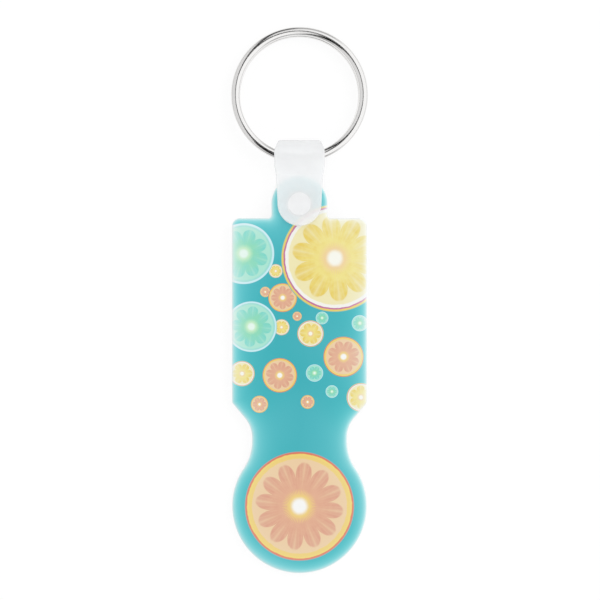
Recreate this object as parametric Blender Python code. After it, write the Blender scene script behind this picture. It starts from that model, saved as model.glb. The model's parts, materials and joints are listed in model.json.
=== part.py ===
"""Trolley coin keyring: a printed token plate, a strap folded through a ring, and a split ring.

Units are metres and +Z is up. The keyring lies face up on a floor at z = 0, with the coin end
towards -Y and the ring towards +Y. Each piece is drawn in the plate's own frame, whose origin is
the stud's axis at the middle of the plate's thickness, and then laid down by one tilted empty.
"""

import math

import bmesh
import bpy
from mathutils import Vector

MM = 0.001

# Token plate: the coin end, the neck, the body and the round tab
COIN_RADIUS = 11.625 * MM
TOKEN_THICKNESS = 2.3 * MM
TOKEN_EDGE_RADIUS = 0.5 * MM
BODY_WIDTH = 23.3 * MM
BODY_LENGTH = 31.85 * MM
BODY_SHOULDER_RADIUS = 1.4 * MM
BODY_END_RADIUS = 0.9 * MM
SLOPE_ANGLE = math.radians(50.0)
NECK_WIDTH = 16.4 * MM
NECK_LENGTH = 0.6 * MM
NECK_UPPER_RADIUS = 5.2 * MM
NECK_LOWER_RADIUS = 8.5 * MM
TAB_RADIUS = 4.85 * MM
TAB_ROOT_RADIUS = 0.6 * MM
SHOULDER_DROP = 2.5 * MM

# Stud of the strap and the hole in the tab that it passes through
STUD_RADIUS = 2.0 * MM
STUD_HOLE_CLEARANCE = 0.25 * MM
HOLE_CHAMFER = 0.2 * MM

# Strap: one moulded strip, folded through the ring and snapped shut round the tab
STRAP_THICKNESS = 0.9 * MM
STRAP_WIDTH = 8.7 * MM
STRAP_SHOULDER_WIDTH = 8.05 * MM
STRAP_END_RADIUS = 3.8 * MM
STRAP_WAIST_INSET = 0.85 * MM
STRAP_WAIST_LENGTH = 4.4 * MM
STRAP_TAPER_LENGTH = 1.8 * MM
STRAP_CORNER_RADIUS = 0.8 * MM
STRAP_EDGE_RADIUS = 0.22 * MM
STRAP_BEND_RADIUS = 3.0 * MM
STRAP_CLEARANCE = 0.25 * MM
BEND_CLEARANCE = 0.35 * MM
LOOP_CLEARANCE = 0.05 * MM

# Snap head on the stud's end, behind the back leaf
SNAP_CLEARANCE = 0.15 * MM
SNAP_OVERHANG = 0.45 * MM
SNAP_RIM = 0.2 * MM
SNAP_TAPER = 0.5 * MM

# Split ring: one wire coiled in two turns. Its step from layer to layer and its cut ends lie in
# the strap's loop
RING_OUTER_RADIUS = 11.82 * MM
WIRE_WIDTH = 1.54 * MM
WIRE_HEIGHT = 1.3 * MM
WIRE_SQUARENESS = 2.4
WIRE_END_CHAMFER = 0.12 * MM
TURN_GAP = 0.06 * MM
RING_TO_TAB = 2.1 * MM
STEP_SPAN = math.radians(26.0)
STEP_CENTRE = math.radians(-90.0)
WIRE_END_GAP = math.radians(2.0)

# Fineness of the facets
FACET_SAGITTA = 0.006 * MM
EDGE_SEGMENTS = 3
LOOP_STEP = math.radians(7.5)
RING_STEP = math.radians(5.0)
WIRE_SIDES = 16

# Worked out from the sizes above
LEAF_FACE = TOKEN_THICKNESS / 2 + STRAP_CLEARANCE
HEAD_FACE = LEAF_FACE + STRAP_THICKNESS + SNAP_CLEARANCE
STUD_END = HEAD_FACE + SNAP_RIM + SNAP_TAPER
STUD_TIP_RADIUS = STUD_RADIUS + SNAP_OVERHANG - SNAP_TAPER
BACK_HOLE_RADIUS = STUD_RADIUS + SNAP_CLEARANCE
RING_INNER_RADIUS = RING_OUTER_RADIUS - WIRE_WIDTH
RING_MIDDLE_RADIUS = RING_OUTER_RADIUS - WIRE_WIDTH / 2
RING_HEIGHT = 2 * WIRE_HEIGHT + TURN_GAP
STRAP_CHORD = math.sqrt(RING_INNER_RADIUS**2 - (STRAP_WIDTH / 2) ** 2)
RING_TO_PIVOT = (RING_OUTER_RADIUS + STRAP_CHORD) / 2
WIRE_REACH = (RING_OUTER_RADIUS - STRAP_CHORD) / 2
LOOP_RADIUS = max(math.hypot(WIRE_REACH, RING_HEIGHT / 2), LEAF_FACE) + LOOP_CLEARANCE
PIVOT_Y = TAB_RADIUS + RING_TO_TAB + WIRE_REACH
SLOPE_TOP_Y = -(SHOULDER_DROP + BODY_LENGTH)
NECK_CORNER_Y = SLOPE_TOP_Y - (BODY_WIDTH - NECK_WIDTH) / 2 * math.tan(SLOPE_ANGLE)
NECK_UPPER_Y = NECK_CORNER_Y - NECK_UPPER_RADIUS * math.tan((math.pi / 2 - SLOPE_ANGLE) / 2)
NECK_LOWER_Y = NECK_UPPER_Y - NECK_LENGTH
NECK_REACH = COIN_RADIUS + NECK_LOWER_RADIUS
NECK_OFFSET = NECK_WIDTH / 2 + NECK_LOWER_RADIUS
COIN_Y = NECK_LOWER_Y - math.sqrt(NECK_REACH**2 - NECK_OFFSET**2)


def arc(centre, radius, start, end):
    """Points along an arc, ends included, with facets no deeper than the sagitta allows."""
    step = 2 * math.acos(1 - min(FACET_SAGITTA / radius, 0.3))
    count = max(2, math.ceil(abs(end - start) / step))
    angles = (start + (end - start) * i / count for i in range(count + 1))
    return [Vector((centre[0] + radius * math.cos(a), centre[1] + radius * math.sin(a))) for a in angles]


def fillet(before, corner, after, radius):
    """Arc that rounds a corner between the lines from before and towards after."""
    corner = Vector(corner)
    to_before = (Vector(before) - corner).normalized()
    to_after = (Vector(after) - corner).normalized()
    half_angle = to_before.angle(to_after) / 2
    centre = corner + (to_before + to_after).normalized() * radius / math.sin(half_angle)
    reach = radius / math.tan(half_angle)
    spoke_start = corner + to_before * reach - centre
    spoke_end = corner + to_after * reach - centre
    start = math.atan2(spoke_start.y, spoke_start.x)
    turn = (math.atan2(spoke_end.y, spoke_end.x) - start + math.pi) % math.tau - math.pi
    return arc(centre, radius, start, start + turn)


def rounded(points):
    """Polyline through (x, y, radius) corners, each rounded by its radius, its two ends kept."""
    line = [Vector(points[0][:2])]
    for before, corner, after in zip(points, points[1:], points[2:]):
        line += fillet(before[:2], corner[:2], after[:2], corner[2])
    return line + [Vector(points[-1][:2])]


def mirrored(half):
    """Closed outline from its right half, which starts and ends on the centre line."""
    return half + [Vector((-p.x, p.y)) for p in reversed(half[1:-1])]


def token_outline():
    """Plan of the plate, from the top of the tab round the coin end and back."""
    body = BODY_WIDTH / 2
    neck = NECK_WIDTH / 2
    tab = arc((0, 0), TAB_RADIUS, math.pi / 2, 0)
    side = rounded(
        [
            (TAB_RADIUS, 0, 0),
            (TAB_RADIUS, -SHOULDER_DROP, TAB_ROOT_RADIUS),
            (body, -SHOULDER_DROP, BODY_SHOULDER_RADIUS),
            (body, SLOPE_TOP_Y, BODY_END_RADIUS),
            (neck, NECK_CORNER_Y, NECK_UPPER_RADIUS),
            (neck, NECK_LOWER_Y, 0),
        ]
    )
    flare = math.atan2(NECK_LOWER_Y - COIN_Y, NECK_OFFSET)
    lower_fillet = arc((NECK_OFFSET, NECK_LOWER_Y), NECK_LOWER_RADIUS, math.pi, math.pi + flare)
    coin = arc((0, COIN_Y), COIN_RADIUS, flare, -math.pi / 2)
    return mirrored(tab[:-1] + side[:-1] + lower_fillet[:-1] + coin)


def plate(outline, thickness, bottom, edge_radius):
    """Closed plate over an outline, with its two rims rounded. Returns a bmesh."""
    bm = bmesh.new()
    floor = bm.faces.new([bm.verts.new((p.x, p.y, bottom)) for p in outline])
    grown = bmesh.ops.extrude_face_region(bm, geom=[floor])["geom"]
    top_verts = [item for item in grown if isinstance(item, bmesh.types.BMVert)]
    bmesh.ops.translate(bm, verts=top_verts, vec=(0, 0, thickness))
    bmesh.ops.recalc_face_normals(bm, faces=bm.faces)
    rims = [e for e in bm.edges if abs(e.verts[0].co.z - e.verts[1].co.z) < thickness / 2]
    bmesh.ops.bevel(
        bm, geom=rims, offset=edge_radius, segments=EDGE_SEGMENTS, profile=0.5, affect="EDGES", clamp_overlap=True
    )
    return bm


def cross_cut(bm, y):
    """Score every face along the line at y, so that flat faces end there."""
    everything = bm.verts[:] + bm.edges[:] + bm.faces[:]
    bmesh.ops.bisect_plane(bm, geom=everything, dist=0.001 * MM, plane_co=(0, y, 0), plane_no=(0, 1, 0))


def turned(name, profile):
    """Solid of revolution about Z from (radius, z) points that start and end on the axis."""
    bm = bmesh.new()
    points = [bm.verts.new((r, 0, z)) for r, z in profile]
    spokes = [bm.edges.new(pair) for pair in zip(points, points[1:])]
    steps = max(12, math.ceil(math.pi / math.acos(1 - FACET_SAGITTA / max(r for r, _ in profile))))
    bmesh.ops.spin(
        bm, geom=points + spokes, cent=(0, 0, 0), axis=(0, 0, 1), angle=math.tau, steps=steps, use_merge=True
    )
    bmesh.ops.remove_doubles(bm, verts=bm.verts, dist=0.001 * MM)
    bmesh.ops.recalc_face_normals(bm, faces=bm.faces)
    return mesh_object(name, bm)


def mesh_object(name, bm):
    """Scene object for a bmesh, shaded smooth apart from its real edges."""
    mesh = bpy.data.meshes.new(name)
    bm.to_mesh(mesh)
    bm.free()
    mesh.shade_smooth()
    mesh.set_sharp_from_angle(angle=math.radians(35))
    obj = bpy.data.objects.new(name, mesh)
    bpy.context.scene.collection.objects.link(obj)
    return obj


def combine(obj, tool, operation):
    """Add a Boolean with a hidden tool that is parented to the piece it shapes."""
    tool.hide_render = True
    tool.display_type = "WIRE"
    tool.parent = obj
    modifier = obj.modifiers.new(tool.name, "BOOLEAN")
    modifier.operation = operation
    modifier.solver = "EXACT"
    modifier.object = tool


def hole_tool(name, radius, low, high, chamfer):
    """Cutter for a round hole between two faces, flared where it breaks through them."""
    flare = radius + 2 * chamfer
    profile = [
        (0, high + chamfer),
        (flare, high + chamfer),
        (radius, high - chamfer),
        (radius, low + chamfer),
        (flare, low - chamfer),
        (0, low - chamfer),
    ]
    return turned(name, profile)


def build_token():
    """Plate with the tab's hole. Its flat faces end at the neck and at the shoulders."""
    half = TOKEN_THICKNESS / 2
    bm = plate(token_outline(), TOKEN_THICKNESS, -half, TOKEN_EDGE_RADIUS)
    cross_cut(bm, (NECK_UPPER_Y + NECK_LOWER_Y) / 2)
    cross_cut(bm, SLOPE_TOP_Y + BODY_LENGTH / 2)
    cross_cut(bm, -SHOULDER_DROP - BODY_SHOULDER_RADIUS)
    token = mesh_object("token", bm)
    hole = hole_tool("tab_hole_tool", STUD_RADIUS + STUD_HOLE_CLEARANCE, -half, half, HOLE_CHAMFER)
    combine(token, hole, "DIFFERENCE")
    return token


class FoldPath:
    """Inner face of the folded strap in the YZ plane, by distance from the crest of the fold."""

    def __init__(self):
        corner_y = TAB_RADIUS + BEND_CLEARANCE
        reach = math.hypot(PIVOT_Y - corner_y, LEAF_FACE)
        self.slope = math.asin(LOOP_RADIUS / reach) - math.atan2(LEAF_FACE, PIVOT_Y - corner_y)
        bend_tangent = STRAP_BEND_RADIUS * math.tan(self.slope / 2)
        straight = math.sqrt(reach**2 - LOOP_RADIUS**2) - bend_tangent
        self.loop_turn = math.pi / 2 + self.slope
        self.loop_end = LOOP_RADIUS * self.loop_turn
        self.bend_start = self.loop_end + straight
        self.bend_end = self.bend_start + STRAP_BEND_RADIUS * self.slope
        self.bend_end_y = corner_y - bend_tangent

    def at_leaf(self, y):
        """Distance from the crest to a place on the flat leaf."""
        return self.bend_end + self.bend_end_y - y

    def frame(self, distance):
        """Point on the inner face and its outward normal, as (y, z) vectors."""
        side = math.copysign(1.0, distance)
        s = abs(distance)
        if s <= self.loop_end:
            turn = s / LOOP_RADIUS
            normal = Vector((math.cos(turn), math.sin(turn)))
            point = Vector((PIVOT_Y, 0)) + normal * LOOP_RADIUS
        elif s <= self.bend_start:
            normal = Vector((-math.sin(self.slope), math.cos(self.slope)))
            along = Vector((-math.cos(self.slope), -math.sin(self.slope)))
            point = Vector((PIVOT_Y, 0)) + normal * LOOP_RADIUS + along * (s - self.loop_end)
        elif s <= self.bend_end:
            turn = (self.bend_end - s) / STRAP_BEND_RADIUS
            normal = Vector((-math.sin(turn), math.cos(turn)))
            centre = Vector((self.bend_end_y, LEAF_FACE + STRAP_BEND_RADIUS))
            point = centre - normal * STRAP_BEND_RADIUS
        else:
            normal = Vector((0, 1))
            point = Vector((self.bend_end_y - (s - self.bend_end), LEAF_FACE))
        return Vector((point.x, side * point.y)), Vector((normal.x, side * normal.y))

    def creases(self):
        """Distances at which the flat strip is scored, so that it can bend smoothly."""
        turns = math.ceil(self.loop_turn / LOOP_STEP)
        marks = [self.loop_end * i / turns for i in range(1, turns + 1)]
        bends = math.ceil(self.slope / LOOP_STEP) + 1
        marks += [self.bend_start + (self.bend_end - self.bend_start) * i / bends for i in range(bends + 1)]
        return [0.0] + marks + [-mark for mark in marks]


def strap_outline(path):
    """Plan of the strip before it is folded: waisted at the fold, with a round lobe at each end."""
    side = STRAP_WIDTH / 2
    lobe = path.at_leaf(0)
    taper_end = path.at_leaf(TAB_RADIUS)
    upper = rounded(
        [
            (side - STRAP_WAIST_INSET, 0, 0),
            (side, STRAP_WAIST_LENGTH / 2, STRAP_CORNER_RADIUS),
            (side, taper_end - STRAP_TAPER_LENGTH, STRAP_CORNER_RADIUS),
            (STRAP_SHOULDER_WIDTH / 2, taper_end, STRAP_CORNER_RADIUS),
            (STRAP_END_RADIUS, lobe, 0),
        ]
    )
    quarter = upper[:-1] + arc((0, lobe), STRAP_END_RADIUS, 0, math.pi / 2)
    right = [Vector((p.x, -p.y)) for p in reversed(quarter)] + quarter[1:]
    return mirrored(right)


def fold(bm, path):
    """Bend a flat strip, which lies along Y with its inner face at z = 0, round the path."""
    for crease in path.creases():
        cross_cut(bm, crease)
    for vert in bm.verts:
        point, normal = path.frame(vert.co.y)
        place = point + normal * vert.co.z
        vert.co = (vert.co.x, place.x, place.y)
    bmesh.ops.recalc_face_normals(bm, faces=bm.faces)


def build_strap():
    """Folded strip with a hole through its back leaf, and the stud that snaps through it."""
    path = FoldPath()
    bm = plate(strap_outline(path), STRAP_THICKNESS, 0, STRAP_EDGE_RADIUS)
    fold(bm, path)
    strap = mesh_object("strap", bm)
    back = -LEAF_FACE
    hole = hole_tool("back_hole_tool", BACK_HOLE_RADIUS, back - STRAP_THICKNESS, back, SNAP_CLEARANCE)
    combine(strap, hole, "DIFFERENCE")
    head_radius = STUD_RADIUS + SNAP_OVERHANG
    stud = turned(
        "stud_tool",
        [
            (0, LEAF_FACE + STRAP_THICKNESS / 2),
            (STUD_RADIUS, LEAF_FACE + STRAP_THICKNESS / 2),
            (STUD_RADIUS, -HEAD_FACE),
            (head_radius, -HEAD_FACE),
            (head_radius, -HEAD_FACE - SNAP_RIM),
            (STUD_TIP_RADIUS, -STUD_END),
            (0, -STUD_END),
        ],
    )
    combine(strap, stud, "UNION")
    return strap


def wire_section():
    """Rounded section of the wire, as (radial, upward) offsets."""
    power = 2 / WIRE_SQUARENESS
    points = []
    for i in range(WIRE_SIDES):
        angle = math.tau * i / WIRE_SIDES
        across = math.copysign(abs(math.cos(angle)) ** power, math.cos(angle))
        upward = math.copysign(abs(math.sin(angle)) ** power, math.sin(angle))
        points.append((across * WIRE_WIDTH / 2, upward * WIRE_HEIGHT / 2))
    return points


def wire_place(turn):
    """Point on the wire's centre line, with the ring's centre at the origin."""
    layer = (WIRE_HEIGHT + TURN_GAP) / 2
    through = (turn - (math.tau - STEP_SPAN / 2)) / STEP_SPAN
    through = min(max(through, 0.0), 1.0)
    height = layer * (1 - 2 * through * through * (3 - 2 * through))
    angle = STEP_CENTRE - turn
    return Vector((RING_MIDDLE_RADIUS * math.cos(angle), RING_MIDDLE_RADIUS * math.sin(angle), height))


def build_split_ring():
    """Wire swept through two turns. Its object's origin is the axis it swings about in the loop."""
    first = STEP_SPAN / 2 + WIRE_END_GAP
    last = 2 * math.tau - first
    count = math.ceil((last - first) / RING_STEP)
    chamfer = WIRE_END_CHAMFER / RING_MIDDLE_RADIUS
    turns = [first] + [first + chamfer + (last - first - 2 * chamfer) * i / count for i in range(count + 1)] + [last]
    shrink = 1 - 2 * WIRE_END_CHAMFER / WIRE_HEIGHT
    centre = Vector((0, RING_TO_PIVOT, 0))
    bm = bmesh.new()
    rings = []
    for index, turn in enumerate(turns):
        nudge = chamfer / 2
        place = wire_place(turn)
        along = (wire_place(turn + nudge) - wire_place(turn - nudge)).normalized()
        outward = Vector((place.x, place.y, 0)).normalized()
        upward = outward.cross(along).normalized()
        size = shrink if index in (0, len(turns) - 1) else 1.0
        section = [centre + place + (outward * a + upward * b) * size for a, b in wire_section()]
        rings.append([bm.verts.new(point) for point in section])
    for near, far in zip(rings, rings[1:]):
        for i in range(WIRE_SIDES):
            j = (i + 1) % WIRE_SIDES
            bm.faces.new((near[i], near[j], far[j], far[i]))
    bm.faces.new(rings[0])
    bm.faces.new(rings[-1])
    bmesh.ops.recalc_face_normals(bm, faces=bm.faces)
    return mesh_object("split_ring", bm)


def finish(obj, name, colour, roughness, metallic, alpha=1.0):
    """Give a piece its own Principled material."""
    material = bpy.data.materials.new(name)
    material.use_nodes = True
    shader = material.node_tree.nodes["Principled BSDF"]
    shader.inputs["Base Color"].default_value = (*colour, 1.0)
    shader.inputs["Roughness"].default_value = roughness
    shader.inputs["Metallic"].default_value = metallic
    shader.inputs["Alpha"].default_value = alpha
    obj.data.materials.append(material)


def resting_angles():
    """Tilt of the plate, and droop of the ring below the floor's plane, as the keyring lies.

    The plate lies on the lower rim of the coin end and on the stud's snap head. The ring lies on
    its far side, and its near side is held up by the strap's loop.
    """
    run = COIN_RADIUS - TOKEN_EDGE_RADIUS - COIN_Y - STUD_TIP_RADIUS
    tilt = math.atan2(STUD_END - TOKEN_THICKNESS / 2, run)
    pivot_height = STUD_END * math.cos(tilt) + (PIVOT_Y + STUD_TIP_RADIUS) * math.sin(tilt)
    far_reach = RING_TO_PIVOT + RING_MIDDLE_RADIUS
    span = math.hypot(far_reach, RING_HEIGHT / 2)
    droop = math.asin(pivot_height / span) - math.atan2(RING_HEIGHT / 2, far_reach)
    return tilt, droop


def corners(objects):
    """Lowest and highest corner of the finished pieces in world space."""
    depsgraph = bpy.context.evaluated_depsgraph_get()
    points = []
    for obj in objects:
        shaped = obj.evaluated_get(depsgraph)
        points += [shaped.matrix_world @ vert.co for vert in shaped.data.vertices]
    low = Vector([min(p[axis] for p in points) for axis in range(3)])
    high = Vector([max(p[axis] for p in points) for axis in range(3)])
    return low, high


def lay_down(token, strap, ring):
    """Hang the pieces on one tilted empty, and set the keyring on the floor over the origin."""
    tilt, droop = resting_angles()
    lying = bpy.data.objects.new("keyring_lying", None)
    bpy.context.scene.collection.objects.link(lying)
    lying.rotation_euler.x = tilt
    token.parent = lying
    strap.parent = lying
    ring.parent = strap
    ring.location.y = PIVOT_Y
    ring.rotation_euler.x = -(tilt + droop)
    bpy.context.view_layer.update()
    low, high = corners([token, strap, ring])
    lying.location = (-(low.x + high.x) / 2, -(low.y + high.y) / 2, -low.z)


def main():
    """Clear the scene, build the three pieces and lay the keyring down."""
    for obj in list(bpy.data.objects):
        bpy.data.objects.remove(obj, do_unlink=True)
    token = build_token()
    finish(token, "printed_plastic", (0.10, 0.50, 0.56), 0.35, 0.0)
    strap = build_strap()
    finish(strap, "frosted_plastic", (0.90, 0.91, 0.92), 0.4, 0.0, alpha=0.75)
    ring = build_split_ring()
    finish(ring, "polished_nickel", (0.80, 0.80, 0.80), 0.12, 1.0)
    lay_down(token, strap, ring)


main()
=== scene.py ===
"""Looks of a trolley coin keyring: printed token plate, frosted strap and nickel split ring.

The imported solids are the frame. Each piece here stands for the solid of the same name, at the same
sizes, with finer rounding and its finish. Lengths are metres. The plate's own frame has its origin
on the stud's axis, at the middle of the plate's thickness, with +Y towards the ring.
"""

import json
import logging
import math
from collections.abc import Callable, Sequence
from dataclasses import dataclass, fields
from enum import Enum

import bmesh
import bpy
import numpy as np
from mathutils import Matrix, Vector


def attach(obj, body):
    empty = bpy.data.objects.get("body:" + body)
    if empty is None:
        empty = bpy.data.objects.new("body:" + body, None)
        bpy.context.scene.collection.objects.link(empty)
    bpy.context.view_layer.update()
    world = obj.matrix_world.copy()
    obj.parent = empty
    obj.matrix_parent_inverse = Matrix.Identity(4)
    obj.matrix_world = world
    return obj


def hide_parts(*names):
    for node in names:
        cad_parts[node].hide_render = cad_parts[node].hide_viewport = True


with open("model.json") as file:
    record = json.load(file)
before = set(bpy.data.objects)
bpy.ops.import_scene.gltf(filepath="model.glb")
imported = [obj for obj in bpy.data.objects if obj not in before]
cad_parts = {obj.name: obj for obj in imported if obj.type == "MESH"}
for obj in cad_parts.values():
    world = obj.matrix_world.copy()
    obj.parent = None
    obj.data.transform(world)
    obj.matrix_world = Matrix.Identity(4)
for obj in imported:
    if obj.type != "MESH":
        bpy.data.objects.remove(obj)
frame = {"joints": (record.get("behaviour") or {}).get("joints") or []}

MM = 0.001
LOG = logging.getLogger("keyring")

Colour = tuple[float, float, float]
Step = tuple[float, float, float, float]
Ring = list[bmesh.types.BMVert]


def srgb(red: int, green: int, blue: int) -> Colour:
    """Linear colour of an 8-bit screen colour.

    Args:
        red: Red, 0 to 255.
        green: Green, 0 to 255.
        blue: Blue, 0 to 255.

    Returns:
        The three linear values.
    """
    def linear(value: int) -> float:
        """Undo the screen's transfer curve for one channel."""
        share = value / 255
        return share / 12.92 if share <= 0.04045 else ((share + 0.055) / 1.055) ** 2.4

    return linear(red), linear(green), linear(blue)


@dataclass
class Field:
    """A value in a node tree that can be used in a formula."""

    graph: "NodeGraph"
    socket: bpy.types.NodeSocket

    def __add__(self, other: "Field | float") -> "Field":
        """Sum."""
        return self.graph.math("ADD", self, other)

    def __sub__(self, other: "Field | float") -> "Field":
        """Difference."""
        return self.graph.math("SUBTRACT", self, other)

    def __mul__(self, other: "Field | float") -> "Field":
        """Product."""
        return self.graph.math("MULTIPLY", self, other)

    def __truediv__(self, other: "Field | float") -> "Field":
        """Quotient."""
        return self.graph.math("DIVIDE", self, other)


Value = Field | float | Sequence[float]
Inputs = Sequence[Value] | dict[int | str, Value]


@dataclass
class NodeGraph:
    """A node tree with short ways to write formulas in it."""

    MIX_KINDS = ("FLOAT", "VECTOR", "RGBA")

    tree: bpy.types.NodeTree

    def feed(self, socket: bpy.types.NodeSocket, value: Value) -> None:
        """Link a field to an input, or set the input's own value.

        Args:
            socket: The input.
            value: A field, a number, or the components of a vector or colour.
        """
        if isinstance(value, Field):
            self.tree.links.new(value.socket, socket)
        elif isinstance(value, (int, float)):
            socket.default_value = float(value)
        else:
            length = len(socket.default_value)
            socket.default_value = [*value, 1.0][:length]

    def fill(self, node: bpy.types.Node, inputs: Inputs) -> None:
        """Feed a node's inputs.

        Args:
            node: The node.
            inputs: Values for its inputs, in order, or else by name or number.
        """
        by_name = inputs if isinstance(inputs, dict) else dict(enumerate(inputs))
        for name, value in by_name.items():
            self.feed(node.inputs[name], value)

    def add(self, kind: str, inputs: Inputs = (), output: int | str = 0, **settings: object) -> Field:
        """Add a node and use one of its outputs.

        Args:
            kind: The node's type name.
            inputs: Values for its inputs, in order, or else by name or number.
            output: Which output to use.
            **settings: Values for the node's own properties.

        Returns:
            The output.
        """
        node = self.tree.nodes.new(kind)
        for name, value in settings.items():
            setattr(node, name, value)
        self.fill(node, inputs)
        return Field(self, node.outputs[output])

    def math(self, operation: str, *values: Field | float) -> Field:
        """Result of a math node."""
        return self.add("ShaderNodeMath", values, operation=operation)

    def vector(self, operation: str, *values: Value, output: str = "Vector") -> Field:
        """Result of a vector math node."""
        return self.add("ShaderNodeVectorMath", values, output, operation=operation)

    def own_place(self) -> Field:
        """Place in the piece's own frame."""
        return self.add("ShaderNodeAttribute", output="Vector", attribute_name="own_place")

    def ray(self, kind: str) -> Field:
        """Whether the light path is of a kind, such as Is Camera Ray."""
        return self.add("ShaderNodeLightPath", output=kind)

    def split(self, vector: Field) -> tuple[Field, Field, Field]:
        """Components of a vector."""
        node = self.add("ShaderNodeSeparateXYZ", (vector,)).socket.node
        return tuple(Field(self, socket) for socket in node.outputs)

    def length(self, across: Field, along: Field) -> Field:
        """Length of a flat vector."""
        return self.math("SQRT", across * across + along * along)

    def smooth(self, value: Field, low: float, high: float, start: float = 0.0, end: float = 1.0) -> Field:
        """Smooth step from start, below low, to end, above high."""
        limits = (low, high, start, end)
        return self.add("ShaderNodeMapRange", (value, *limits), interpolation_type="SMOOTHSTEP")

    def mix(self, factor: Field | float, first: Value, second: Value, kind: str = "RGBA",
            blend: str = "MIX") -> Field:
        """Mix two colours or two vectors.

        Args:
            factor: Share of the second.
            first: Value at 0.
            second: Value at 1.
            kind: RGBA for colours, VECTOR for vectors.
            blend: How the second goes over the first.

        Returns:
            The mixed value.
        """
        slot = self.MIX_KINDS.index(kind)
        inputs = {0: factor, 2 * slot + 2: first, 2 * slot + 3: second}
        return self.add("ShaderNodeMix", inputs, slot, data_type=kind, blend_type=blend)

    def noise(self, place: Field, scale: float, detail: float = 2.0) -> Field:
        """Noise from 0 to 1, with so many finer layers."""
        return self.add("ShaderNodeTexNoise", {"Vector": place, "Scale": scale, "Detail": detail}, "Fac")

    def bump(self, height: Field, strength: float, distance: float) -> Field:
        """Normal from a height of 0 to 1 that stands for a distance."""
        inputs = {"Height": height, "Strength": strength, "Distance": distance}
        return self.add("ShaderNodeBump", inputs, "Normal")


def surface(name: str) -> tuple[bpy.types.Material, NodeGraph, bpy.types.Node]:
    """Start a material.

    Args:
        name: Its name.

    Returns:
        The material, its graph and its surface shader.
    """
    material = bpy.data.materials.new(name)
    material.use_nodes = True
    return material, NodeGraph(material.node_tree), material.node_tree.nodes["Principled BSDF"]


def add_object(name: str, data: bpy.types.ID | bmesh.types.BMesh) -> bpy.types.Object:
    """Add an object to the scene.

    Args:
        name: Its name, and its mesh's.
        data: Its data, or a loose mesh, which is used up.

    Returns:
        The object.
    """
    if isinstance(data, bmesh.types.BMesh):
        mesh = bpy.data.meshes.new(name)
        data.to_mesh(mesh)
        data.free()
        data = mesh
    obj = bpy.data.objects.new(name, data)
    bpy.context.scene.collection.objects.link(obj)
    return obj


@dataclass(frozen=True)
class Inks:
    """Colours of one printed motif, from its heart outwards."""

    heart: Colour
    glow: Colour
    petal: Colour
    tip: Colour
    ground: Colour
    rim: Colour
    accent: Colour
    line: Colour


class InkSet(Enum):
    """The colour ways that the motifs are printed in."""

    YELLOW = Inks(
        heart=srgb(255, 252, 240),
        glow=srgb(246, 206, 150),
        petal=srgb(246, 226, 128),
        tip=srgb(235, 200, 78),
        ground=srgb(246, 233, 178),
        rim=srgb(250, 246, 240),
        accent=srgb(196, 104, 150),
        line=srgb(238, 206, 92),
    )
    MINT = Inks(
        heart=srgb(232, 252, 240),
        glow=srgb(196, 240, 190),
        petal=srgb(128, 216, 176),
        tip=srgb(112, 212, 200),
        ground=srgb(166, 230, 208),
        rim=srgb(150, 222, 210),
        accent=srgb(196, 236, 244),
        line=srgb(206, 240, 248),
    )
    CORAL = Inks(
        heart=srgb(255, 252, 250),
        glow=srgb(248, 214, 120),
        petal=srgb(232, 172, 140),
        tip=srgb(223, 154, 128),
        ground=srgb(242, 204, 159),
        rim=srgb(244, 206, 110),
        accent=srgb(246, 212, 104),
        line=srgb(226, 110, 84),
    )


@dataclass(frozen=True)
class Motif:
    """One printed blossom in a ring, placed in the plate's frame in millimetres."""

    across: float
    along: float
    radius: float
    inks: InkSet
    petals: int = 6
    turn: float = 0.0


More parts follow.
